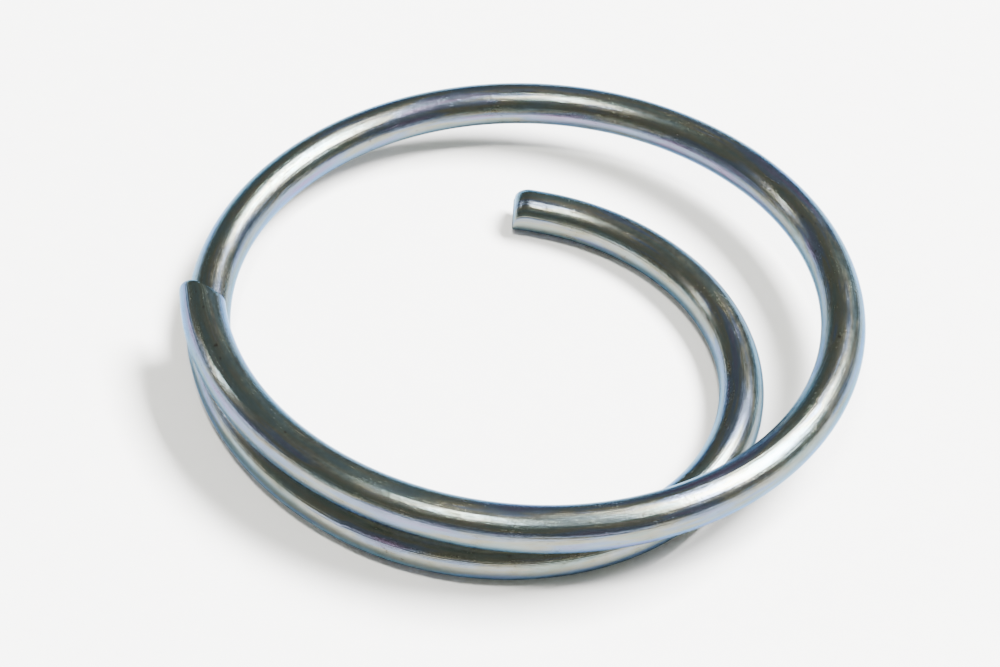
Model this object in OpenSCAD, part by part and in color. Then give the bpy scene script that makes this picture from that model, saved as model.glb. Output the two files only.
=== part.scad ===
// Split ring of round spring wire, in millimetres, lying flat on z = 0.
// The wire runs from the outer end, over the coil beneath it, down a full turn
// of the ring, under the outer end and in along the inner leg.
// It is divided where it flexes: each flex station is a ball in a seat.

/* [Wire] */
// Diameter of the wire
wire_d = 2; // [1.6:0.05:2.6]

/* [Ring] */
// Outside diameter of the ring
ring_od = 30.6; // [24:0.1:40]
// Angle of the crest, where the upper coil starts down, from the X axis
crest_angle = -30; // [-60:1:0]
// Sweep of the upper coil from the crest back to the outer end
overlap = 140; // [110:1:155]
// How much wider the upper coil is bent than the ring
splay = 0.1; // [0:0.05:0.6]
// Gap between the outer end and the coil beneath it
coil_gap = 0.03; // [0.02:0.01:0.4]

/* [Inner leg] */
// How much tighter than the ring the bend is that turns the wire inward
lead_in_inset = 2.7; // [2:0.1:4]
// Sweep of that bend
lead_in_sweep = 50; // [30:1:65]
// How much tighter than the ring the inner leg is bent
leg_inset = 3.4; // [2.6:0.1:5]
// Sweep of the inner leg
leg_sweep = 150; // [110:1:170]

/* [Cut ends] */
// Straight length left at the outer end
outer_end_l = 1.2; // [0.6:0.1:2]
// Straight length left at the inner end, where a key's eye goes on
inner_end_l = 1.5; // [0.8:0.1:3]
// Width of the broken edge round each cut face
end_break = 0.12; // [0.05:0.01:0.25]

/* [Flex stations] */
// Wall left round the seat of the ball between two spans
seat_wall = 0.28; // [0.18:0.01:0.36]
// Clearance round the ball in its seat
seat_clearance = 0.02; // [0.01:0.01:0.05]
// Gap between the faces of two spans
face_gap = 0.06; // [0.03:0.01:0.12]

/* [Hidden] */

$fn = 96;
wire_r = wire_d / 2;
coil_r = ring_od / 2 - wire_r;
upper_r = coil_r + splay;
lead_in_r = coil_r - lead_in_inset;
leg_r = coil_r - leg_inset;
seat_d = wire_d - 2 * seat_wall;
ball_d = seat_d - 2 * seat_clearance;

// The upper coil and the inner leg are each shared out in equal spans.
upper_spans = 4;
leg_spans = 3;
upper_step = overlap / upper_spans;
leg_step = leg_sweep / leg_spans;

// The ring comes down in three quarter turns, each rolled by the same angle,
// and is level again at the foot. The foot rises by a share of the climb by the
// time it passes under the outer end, so the climb is set from the gap there.
quarter = 90;
climb_quarters = 3;
outer_end_angle = outer_end_l / upper_r * 180 / PI;
foot_to_outer_end = overlap + outer_end_angle - quarter;
foot_rise_share = (1 - cos(foot_to_outer_end)) / 4;
climb = (wire_d + coil_gap) / (1 - foot_rise_share);
climb_roll = asin(climb / (4 * coil_r));

outer_colour = "#8d9aa6";
ring_colour = "#7c8893";
leg_colour = "#9aa8b3";

// Frames that follow the wire: X along it, Y towards the centre of its bend.
module at_crest() {
    rotate(crest_angle)
        translate([coil_r, 0, wire_r + climb])
            rotate(quarter)
                children();
}

module along_bend(radius, sweep) {
    translate([0, radius, 0]) rotate(sweep) translate([0, -radius, 0]) children();
}

module rolled() {
    rotate([-climb_roll, 0, 0]) children();
}

module after_quarters(count) {
    if (count == 0)
        at_crest() children();
    else
        after_quarters(count - 1) rolled() along_bend(coil_r, quarter) children();
}

module at_foot() {
    after_quarters(climb_quarters) rolled() children();
}

module at_leg() {
    at_foot() along_bend(lead_in_r, lead_in_sweep) children();
}

// Half the face gap, as an angle on a bend of this radius.
function face_angle(radius) = face_gap / 2 / radius * 180 / PI;

// A length of bent wire between two angles of its bend.
module bent_wire(radius, from, to) {
    translate([0, radius, 0])
        rotate(from - quarter)
            rotate_extrude(angle = to - from)
                translate([radius, 0])
                    circle(d = wire_d);
}

// A straight length to the cut face, with the edge of the face broken.
module cut_end(length) {
    rotate([0, quarter, 0]) rotate(-quarter) {
        cylinder(d = wire_d, h = length - end_break);
        translate([0, 0, length - end_break])
            cylinder(r1 = wire_r, r2 = wire_r - end_break, h = end_break);
    }
}

module ball_on(radius, angle) {
    along_bend(radius, angle) sphere(d = ball_d);
}

module seat_in(radius, angle) {
    along_bend(radius, angle) sphere(d = seat_d);
}

// Spans of the upper coil, counted from the crest back to the outer end.
module upper_span(index) {
    near = -index * upper_step;
    far = near - upper_step;
    difference() {
        union() {
            bent_wire(upper_r, far + face_angle(upper_r), near - face_angle(upper_r));
            ball_on(upper_r, near);
        }
        seat_in(upper_r, far);
    }
}

// Spans of the inner leg, counted from the lead-in bend to the inner end.
module leg_span(index) {
    near = index * leg_step;
    far = near + leg_step;
    difference() {
        union() {
            bent_wire(leg_r, near + face_angle(leg_r), far - face_angle(leg_r));
            ball_on(leg_r, near);
        }
        seat_in(leg_r, far);
    }
}

module outer_end() {
    color(outer_colour) at_crest() along_bend(upper_r, -overlap) {
        mirror([1, 0, 0]) cut_end(outer_end_l);
        bent_wire(upper_r, 0, upper_step - face_angle(upper_r));
        ball_on(upper_r, upper_step);
    }
}

module upper_left_span() {
    color(outer_colour) at_crest() upper_span(2);
}

module upper_front_span() {
    color(outer_colour) at_crest() upper_span(1);
}

module upper_right_span() {
    color(outer_colour) at_crest() upper_span(0);
}

module right_quarter() {
    color(ring_colour) at_crest() difference() {
        rolled() bent_wire(coil_r, face_angle(coil_r), quarter);
        seat_in(coil_r, 0);
    }
}

module back_quarter() {
    color(ring_colour) after_quarters(1) rolled() bent_wire(coil_r, 0, quarter);
}

module left_quarter() {
    color(ring_colour) after_quarters(2) rolled() bent_wire(coil_r, 0, quarter);
}

module lead_in_bend() {
    color(leg_colour) at_foot() difference() {
        bent_wire(lead_in_r, 0, lead_in_sweep - face_angle(lead_in_r));
        seat_in(lead_in_r, lead_in_sweep);
    }
}

module inner_right_span() {
    color(leg_colour) at_leg() leg_span(0);
}

module inner_back_span() {
    color(leg_colour) at_leg() leg_span(1);
}

module inner_end() {
    color(leg_colour) at_leg() along_bend(leg_r, leg_sweep) {
        cut_end(inner_end_l);
        mirror([1, 0, 0]) bent_wire(leg_r, 0, leg_step - face_angle(leg_r));
        ball_on(leg_r, -leg_step);
    }
}

outer_end();
upper_left_span();
upper_front_span();
upper_right_span();
right_quarter();
back_quarter();
left_quarter();
lead_in_bend();
inner_right_span();
inner_back_span();
inner_end();
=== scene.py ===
import math

import bpy
import numpy as np
from mathutils import Matrix, Vector


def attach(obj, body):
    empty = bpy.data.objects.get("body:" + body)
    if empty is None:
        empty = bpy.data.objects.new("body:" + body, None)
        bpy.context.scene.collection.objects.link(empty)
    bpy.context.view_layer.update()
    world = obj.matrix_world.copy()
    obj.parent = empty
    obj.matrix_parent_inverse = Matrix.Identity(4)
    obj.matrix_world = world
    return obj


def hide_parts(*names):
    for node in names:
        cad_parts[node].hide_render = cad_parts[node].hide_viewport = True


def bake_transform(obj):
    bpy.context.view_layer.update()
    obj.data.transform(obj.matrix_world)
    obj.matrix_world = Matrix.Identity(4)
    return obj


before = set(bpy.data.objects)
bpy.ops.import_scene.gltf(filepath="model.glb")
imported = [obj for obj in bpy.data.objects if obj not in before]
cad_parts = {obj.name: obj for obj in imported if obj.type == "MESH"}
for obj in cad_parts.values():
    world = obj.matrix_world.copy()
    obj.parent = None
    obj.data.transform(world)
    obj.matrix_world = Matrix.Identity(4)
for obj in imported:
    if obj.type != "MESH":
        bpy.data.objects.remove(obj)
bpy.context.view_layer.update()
mm = 0.001


# ---- Camera -----------------------------------------------------------------
# A close view from the front and well above, with the ring nearly filling the
# frame and the camera tipped a little on its side.
look_at = Vector((-1.056, -1.220, 1.5)) * mm
camera_distance = 111.66 * mm
camera_azimuth = 2.877
camera_elevation = 44.172
camera_roll = 5.507
lens_mm = 89.19

camera = bpy.data.objects.new("camera", bpy.data.cameras.new("camera"))
bpy.context.scene.collection.objects.link(camera)
camera.data.lens = lens_mm
camera.data.clip_start = 1 * mm
camera.matrix_world = (
    Matrix.Translation(look_at)
    @ Matrix.Rotation(math.radians(-camera_azimuth), 4, "Z")
    @ Matrix.Rotation(math.radians(90 - camera_elevation), 4, "X")
    @ Matrix.Rotation(math.radians(camera_roll), 4, "Z")
    @ Matrix.Translation((0, 0, camera_distance))
)
bpy.context.scene.camera = camera


# ---- The wire's finish --------------------------------------------------------
# Spring steel wire, drawn through a die, wound, and barrel-plated with bright
# zinc under a thin blue passivation. The die leaves fine lengthwise lines, and
# the barrel leaves rubs, dull patches and a few rusty specks.
class Shade:
    """A shader socket, so that arithmetic on it adds Math nodes."""

    def __init__(self, tree, socket):
        self.tree = tree
        self.socket = socket

    def node(self, kind, settings=(), **inputs):
        made = self.tree.nodes.new(kind)
        for name, value in dict(settings).items():
            if name == "stops":
                ramp = made.color_ramp
                while len(ramp.elements) < len(value):
                    ramp.elements.new(0.5)
                for element, (place, colour) in zip(ramp.elements, value):
                    element.position = place
                    element.color = (*colour, 1)
            else:
                setattr(made, name, value)
        for name, value in inputs.items():
            key = int(name[1:]) if name[0] == "_" else name.replace("_", " ")
            if isinstance(value, Shade):
                self.tree.links.new(value.socket, made.inputs[key])
            else:
                made.inputs[key].default_value = value
        return made

    def out(self, made, name=0):
        return Shade(self.tree, made.outputs[name])

    def maths(self, operation, first, second=0.0):
        made = self.node("ShaderNodeMath", {"operation": operation}, _0=first, _1=second)
        return self.out(made)

    def __add__(self, other):
        return self.maths("ADD", self, other)

    def __mul__(self, other):
        return self.maths("MULTIPLY", self, other)

    def __sub__(self, other):
        return self.maths("SUBTRACT", self, other)

    def __rsub__(self, other):
        return self.maths("SUBTRACT", other, self)

    __radd__ = __add__
    __rmul__ = __mul__

    def ramp(self, stops):
        return self.out(self.node("ShaderNodeValToRGB", {"stops": stops}, Fac=self), "Color")

    def between(self, low, high):
        made = self.node("ShaderNodeMapRange", {}, Value=self, From_Min=low, From_Max=high)
        return self.out(made)

    def tint(self, first, second):
        made = self.node("ShaderNodeMix", {"data_type": "RGBA"}, Factor=self, _6=first, _7=second)
        return self.out(made, 2)


def new_finish(name, roughness, metallic):
    """A material, its shader, and a Shade to start expressions from."""
    finish = bpy.data.materials.new(name)
    finish.use_nodes = True
    tree = finish.node_tree
    shader = tree.nodes["Principled BSDF"]
    shader.inputs["Roughness"].default_value = roughness
    shader.inputs["Metallic"].default_value = metallic
    return finish, shader, Shade(tree, None)


def bump(pen, height, strength, depth):
    made = pen.node("ShaderNodeBump", {}, Height=height, Strength=strength, Distance=depth)
    return pen.out(made)


def grain(pen, place, scale, detail, roughness=0.5):
    made = pen.node(
        "ShaderNodeTexNoise", {}, Vector=place, Scale=scale, Detail=detail, Roughness=roughness
    )
    return pen.out(made)


def stretched(pen, place, factors):
    made = pen.node("ShaderNodeVectorMath", {"operation": "MULTIPLY"}, _0=place, _1=factors)
    return pen.out(made)


def wire_marks(pen, along, across, detail, roughness=0.5):
    """Marks on the drawn wire, so many to the millimetre along it and to the radius across."""
    lay = pen.out(pen.node("ShaderNodeAttribute", {"attribute_name": "lay"}), "Vector")
    return grain(pen, stretched(pen, lay, (along, across, across)), 1.0, detail, roughness)


bright_zinc = (0.118, 0.145, 0.166, 1)
dull_zinc = (0.088, 0.094, 0.076, 1)
rust_brown = (0.035, 0.022, 0.015, 1)
sheared_grey = (0.17, 0.155, 0.15, 1)
torn_dark = (0.05, 0.045, 0.04, 1)
edge_blue = (0.42, 0.62, 0.88, 1)
wire_relief_depth = 8e-6
wire_zinc, zinc_shader, pen = new_finish("wire_zinc", roughness=0.2, metallic=1.0)
die_lines = wire_marks(pen, along=0.05, across=16, detail=3, roughness=0.6)
broad_lines = wire_marks(pen, along=0.09, across=4.5, detail=2)
patches = wire_marks(pen, along=0.45, across=1.3, detail=4, roughness=0.6)
rubs = wire_marks(pen, along=1.6, across=5, detail=3, roughness=0.65)
specks = wire_marks(pen, along=2.5, across=3.5, detail=3, roughness=0.6).between(0.68, 0.74)
grit = wire_marks(pen, along=5, across=9, detail=3, roughness=0.7)
film = wire_marks(pen, along=0.16, across=1.5, detail=3, roughness=0.55)
film_colour = film.ramp(
    [
        (0.30, (0.060, 0.130, 0.160)),
        (0.42, (0.100, 0.122, 0.088)),
        (0.50, (0.150, 0.132, 0.082)),
        (0.58, (0.082, 0.112, 0.178)),
        (0.70, (0.125, 0.088, 0.160)),
    ]
)
dulled = (patches * 0.7 + rubs * 0.5).between(0.5, 0.78)
plated = dulled.tint(bright_zinc, dull_zinc)
filmed = film.between(0.1, 0.9).tint(plated, film_colour)
rusted = (specks * 0.8).tint(filmed, rust_brown)
cut = pen.out(pen.node("ShaderNodeAttribute", {"attribute_name": "cut"}), "Fac")
place = pen.out(pen.node("ShaderNodeTexCoord"), "Object")
tear = grain(pen, stretched(pen, place, (2500, 2500, 9000)), 1.0, 4.0, 0.7)
torn_colour = tear.between(0.3, 0.7).tint(torn_dark, sheared_grey)
coloured = cut.tint(rusted, torn_colour)
wire_roughness = 0.04 + die_lines * 0.12 + dulled * 0.10 + grit * 0.16 + cut * 0.22
relief = die_lines * 1.7 + broad_lines * 1.0 + rubs * 0.95 + grit * 1.15 - specks * 0.4 + cut * tear * 5
wire_relief = bump(pen, relief, 0.75, wire_relief_depth)
zinc_shader.inputs["Specular Tint"].default_value = edge_blue
pen.tree.links.new(coloured.socket, zinc_shader.inputs["Base Color"])
pen.tree.links.new(wire_roughness.socket, zinc_shader.inputs["Roughness"])
pen.tree.links.new(wire_relief.socket, zinc_shader.inputs["Normal"])


# ---- Outer end ----------------------------------------------------------------
# The free end that lies on top of the coil below and that a nail lifts to thread
# a key on. It is cut with shears after winding: a rounded lip where the blade
# went in, a torn dark face, and a straight that the bend never reached.
wire_r = 1.0 * mm
coil_r = 15.3 * mm - wire_r
upper_r = coil_r + 0.1 * mm
climb = 2.270 * mm
crest_angle = -30
overlap = 140
outer_straight = 1.2 * mm
outer_roll = 0.30 * mm
half_span = 17.5
ring_sides = 64
step_length = 0.25 * mm
smooth_below = 35
cut_back = 0.15 * mm


def bend(here, radius, sweep):
    """The frame at the end of a bend. X runs along the wire and Y points to the bend's centre."""
    out = Matrix.Translation((0, radius, 0))
    back = Matrix.Translation((0, -radius, 0))
    return here @ out @ Matrix.Rotation(math.radians(sweep), 4, "Z") @ back


def straight(here, length):
    return here @ Matrix.Translation((length, 0, 0))


def pick(piece, chosen):
    """Selects only these vertices of the piece and goes into edit mode."""
    bpy.ops.object.select_all(action="DESELECT")
    bpy.context.view_layer.objects.active = piece
    piece.select_set(True)
    bpy.ops.object.mode_set(mode="EDIT")
    bpy.ops.mesh.select_all(action="DESELECT")
    bpy.ops.mesh.select_mode(type="VERT")
    bpy.ops.object.mode_set(mode="OBJECT")
    for v in chosen:
        piece.data.vertices[v].select = True
    bpy.ops.object.mode_set(mode="EDIT")


def draw_wire(name, here, bends, distance, turned=0.0):
    """An open length of wire from the frame here, through bends of (radius, sweep, roll before
    it). Each vertex keeps where it is on the drawn wire."""
    bpy.ops.object.select_all(action="DESELECT")
    bpy.ops.mesh.primitive_circle_add(vertices=ring_sides, radius=wire_r)
    piece = bpy.context.object
    piece.name = piece.data.name = name
    piece.matrix_world = here @ Matrix.Rotation(math.radians(90), 4, "Y")
    bpy.ops.object.transform_apply(location=True, rotation=True, scale=True)
    lay = []
    ring = range(ring_sides)
    for radius, sweep, roll in bends:
        here = here @ Matrix.Rotation(math.radians(-roll), 4, "X")
        turned += roll
        length = radius * math.radians(sweep)
        pick(piece, ring)
        bpy.ops.mesh.spin(
            steps=round(length / step_length),
            angle=-math.radians(sweep),
            center=here @ Vector((0, radius, 0)),
            axis=here.to_3x3() @ Vector((0, 0, 1)),
        )
        bpy.ops.object.mode_set(mode="OBJECT")
        flat = here.inverted()
        count = len(piece.data.vertices)
        for v in range(len(lay), count):
            x, y, z = flat @ piece.data.vertices[v].co
            along = math.atan2(x, radius - y) * radius
            turn = math.atan2(z, radius - math.hypot(x, radius - y)) + math.radians(turned)
            lay.append((distance + along / mm, math.cos(turn), math.sin(turn)))
        ring = range(count - ring_sides, count)
        distance += length / mm
        here = bend(here, radius, sweep)
    mark = piece.data.attributes.new("lay", "FLOAT_VECTOR", "POINT")
    mark.data.foreach_set("vector", np.array(lay, np.float32).ravel())
    return piece, here


def close_wire(piece):
    """Caps the open rings, turns the faces outward and gives the wire its finish."""
    pick(piece, range(len(piece.data.vertices)))
    bpy.ops.mesh.fill_holes(sides=0)
    bpy.ops.mesh.select_all(action="SELECT")
    bpy.ops.mesh.normals_make_consistent(inside=False)
    bpy.ops.object.mode_set(mode="OBJECT")
    bpy.ops.object.shade_smooth_by_angle(angle=math.radians(smooth_below))
    piece.data.materials.append(wire_zinc)


roll_steps = 8
rim_width = 0.07 * mm
rim_sink = 0.03 * mm
nick_depth = 0.22 * mm
nick_widths = (0.38 * mm, 0.31 * mm, 0.24 * mm)


def shear_end(piece, ring, here, lead, slant, reach, slump, squeeze, foot, nicks=()):
    """Draws the end ring out to the cut, rolled over toward the foot (across, up) on its rim,
    by slump of its size in the directions of squeeze, and caps it with a sunk torn face. A
    straight of length lead comes first, whose end is turned by slant about the foot."""
    pick(piece, ring)
    along = here.to_3x3() @ Vector((lead, 0, 0))
    here = straight(here, lead)
    bpy.ops.mesh.extrude_region_move(TRANSFORM_OT_translate={"value": along})
    bpy.ops.transform.rotate(
        value=math.radians(slant),
        orient_axis="Z",
        center_override=here @ Vector((0, foot[0] * wire_r, foot[1] * wire_r)),
    )
    gone, size = 0.0, 1.0
    for step in range(1, roll_steps + 1):
        turn = math.radians(90 * step / roll_steps)
        along = here.to_3x3() @ Vector((reach * math.sin(turn) - gone, 0, 0))
        gone = reach * math.sin(turn)
        bpy.ops.mesh.extrude_region_move(TRANSFORM_OT_translate={"value": along})
        wanted = 1 - slump * (1 - math.cos(turn))
        bpy.ops.transform.resize(
            value=[1 + (wanted / size - 1) * share for share in squeeze],
            center_override=here @ Vector((gone, foot[0] * wire_r, foot[1] * wire_r)),
        )
        size = wanted
    bpy.ops.object.mode_set(mode="OBJECT")
    rim = [v.index for v in piece.data.vertices if v.select]
    pick(piece, rim)
    bpy.ops.mesh.edge_face_add()
    bpy.ops.mesh.inset(thickness=rim_width, depth=-rim_sink)
    bpy.ops.object.mode_set(mode="OBJECT")
    face = [v.index for v in piece.data.vertices if v.select]
    rolled = range(len(piece.data.vertices) - (roll_steps + 1) * ring_sides, len(piece.data.vertices))
    flat = here.inverted()
    for across, up in nicks:
        mark = Vector((0, across * wire_r, up * wire_r))
        dent = here.to_3x3() @ mark.normalized() * (-nick_depth / len(nick_widths))
        for width in nick_widths:
            near = [
                v
                for v in rolled
                if ((flat @ piece.data.vertices[v].co) * Vector((0, 1, 1)) - mark).length < width
            ]
            pick(piece, near)
            bpy.ops.transform.translate(value=dent)
            bpy.ops.object.mode_set(mode="OBJECT")
    torn_points = set(rim + face)
    torn = piece.data.attributes.new("cut", "FLOAT", "POINT")
    torn.data.foreach_set("value", [float(v.index in torn_points) for v in piece.data.vertices])


crest = (
    Matrix.Rotation(math.radians(crest_angle), 4, "Z")
    @ Matrix.Translation((coil_r, 0, wire_r + climb))
    @ Matrix.Rotation(math.radians(90), 4, "Z")
)
outer_start = bend(crest, upper_r, -overlap)
outer_wire, outer_join = draw_wire(
    "outer_end_wire", outer_start, [(upper_r, 3 * half_span, 0)], outer_straight / mm
)
shear_end(
    outer_wire,
    range(ring_sides),
    outer_start @ Matrix.Rotation(math.radians(180), 4, "Z"),
    lead=outer_straight - outer_roll - cut_back,
    slant=26,
    reach=outer_roll,
    slump=0.16,
    squeeze=(1, 1, 1),
    foot=(0.75, -0.5),
    nicks=((-0.18, 0.80),),
)
close_wire(outer_wire)
bend(crest, upper_r, -7 * half_span).translation
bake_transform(outer_wire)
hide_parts("outer_end")


# ---- Upper coil -----------------------------------------------------------------
# The coil that rides on the one below round the left front, the front and the
# front right. The real wire is unbroken and bends along its whole length when the
# outer end is lifted; here it is drawn as two fixed spans.
here = outer_join
distance = (outer_straight + upper_r * math.radians(3 * half_span)) / mm
for name, low_body, high_body, node in (
    ("upper_left_wire", "upper_left", "upper_front", "upper_left_span"),
    ("upper_front_wire", "upper_front", "upper_right", "upper_front_span"),
):
    start = here
    wire, here = draw_wire(name, start, [(upper_r, 2 * half_span, 0)], distance)
    close_wire(wire)
    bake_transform(wire)
    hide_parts(node)
    distance += upper_r * math.radians(2 * half_span) / mm


# ---- Crest and outer turn ---------------------------------------------------------
# From the crest at the front right the wire comes down by its own thickness in
# three quarter turns, round the right, the back and the left, and passes under
# the outer end. This turn is what keys hang on, and it stays still.
climb_roll = math.degrees(math.asin(climb / (4 * coil_r)))
crest_run = 15
lead_in_r = coil_r - 2.7 * mm
lead_in_half = 25

start = here
crest_wire, here = draw_wire(
    "crest_wire", start, [(upper_r, half_span, 0), (coil_r, crest_run, climb_roll)], distance
)
close_wire(crest_wire)
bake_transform(crest_wire)
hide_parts("upper_right_span")
distance += (upper_r * math.radians(half_span) + coil_r * math.radians(crest_run)) / mm

turn_wire, here = draw_wire(
    "outer_turn_wire",
    here,
    [
        (coil_r, 90 - crest_run, 0),
        (coil_r, 90, climb_roll),
        (coil_r, 90, climb_roll),
        (lead_in_r, lead_in_half, climb_roll),
    ],
    distance,
    turned=climb_roll,
)
close_wire(turn_wire)
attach(turn_wire, "ring")
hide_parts("right_quarter", "back_quarter", "left_quarter")
distance += (coil_r * math.radians(270 - crest_run) + lead_in_r * math.radians(lead_in_half)) / mm


# ---- Inner leg ----------------------------------------------------------------------
# The wire leaves the ring at the front and curls inward up the right side, as a
# lead-in that an eye or a drilled pin goes on to first. Its end is sheared from
# above, which rolls the top over, and stands free in the open middle.
leg_r = coil_r - 3.4 * mm
leg_half = 25
inner_straight = 1.5 * mm
inner_roll = 0.8 * mm
leg_turned = 4 * climb_roll

start = here
lead_in_wire, here = draw_wire(
    "lead_in_wire", start, [(lead_in_r, lead_in_half, 0), (leg_r, leg_half, 0)], distance, leg_turned
)
close_wire(lead_in_wire)
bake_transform(lead_in_wire)
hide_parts("lead_in_bend", "inner_right_span")
distance += (lead_in_r + leg_r) * math.radians(leg_half) / mm

start = here
leg_wire, here = draw_wire("inner_leg_wire", start, [(leg_r, 2 * leg_half, 0)], distance, leg_turned)
close_wire(leg_wire)
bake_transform(leg_wire)
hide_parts("inner_back_span")
distance += leg_r * math.radians(2 * leg_half) / mm

start = here
inner_wire, here = draw_wire(
    "inner_end_wire",
    start,
    [(leg_r, 3 * leg_half, 0)],
    distance,
    leg_turned,
)
last_ring = range(len(inner_wire.data.vertices) - ring_sides, len(inner_wire.data.vertices))
shear_end(
    inner_wire,
    last_ring,
    here,
    lead=inner_straight - inner_roll - cut_back,
    slant=-9,
    reach=inner_roll,
    slump=0.42,
    squeeze=(0.1, 0.1, 1),
    foot=(0, -0.95),
)
close_wire(inner_wire)
bend(start, leg_r, 2 * leg_half).translation
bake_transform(inner_wire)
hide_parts("inner_end")


# ---- Floor ------------------------------------------------------------------------
# A large sheet of plain white card, with the faint tooth of its surface.
card_size = 3.0
bpy.ops.object.select_all(action="DESELECT")
bpy.ops.mesh.primitive_plane_add(size=card_size)
card = bpy.context.object
card.name = "card"
card_white, card_shader, pen = new_finish("card_white", roughness=0.85, metallic=0.0)
spot = pen.out(pen.node("ShaderNodeTexCoord"), "Object")
tooth = grain(pen, spot, 900.0, 4.0, 0.6)
card_tone = tooth.tint((0.80, 0.80, 0.80, 1), (0.86, 0.86, 0.86, 1))
pen.tree.links.new(card_tone.socket, card_shader.inputs["Base Color"])
pen.tree.links.new(bump(pen, tooth, 0.15, 4e-5).socket, card_shader.inputs["Normal"])
card.data.materials.append(card_white)


# ---- Light --------------------------------------------------------------------------
# A dim room, a broad window high at the back right, a narrow one overhead, and a
# small one low on the left.
world = bpy.data.worlds.new("room")
bpy.context.scene.world = world
world.use_nodes = True
room = world.node_tree.nodes["Background"]
room.inputs["Color"].default_value = (0.86, 0.90, 0.82, 1)
room.inputs["Strength"].default_value = 0.52


def window(name, toward, distance_m, size, power, colour):
    """A soft four-sided light out in a direction from the ring, facing it."""
    light = bpy.data.objects.new(name, bpy.data.lights.new(name, "AREA"))
    bpy.context.scene.collection.objects.link(light)
    light.data.shape = "RECTANGLE"
    light.data.size, light.data.size_y = size
    light.data.energy = power
    light.data.color = colour
    light.location = Vector(toward).normalized() * distance_m
    light.rotation_mode = "QUATERNION"
    light.rotation_quaternion = light.location.to_track_quat("Z", "Y")
    return light


window("key_window", (0.649, 0.280, 1.0), 1.0, (0.64, 0.34), 98, (1.0, 0.99, 0.98))
window("top_window", (-0.14, -0.21, 0.97), 1.0, (0.22, 0.09), 13.0, (1.0, 0.98, 0.92))
window("left_window", (-0.865, 0.238, 0.443), 1.0, (0.06, 0.10), 2.0, (1.0, 0.98, 0.97))
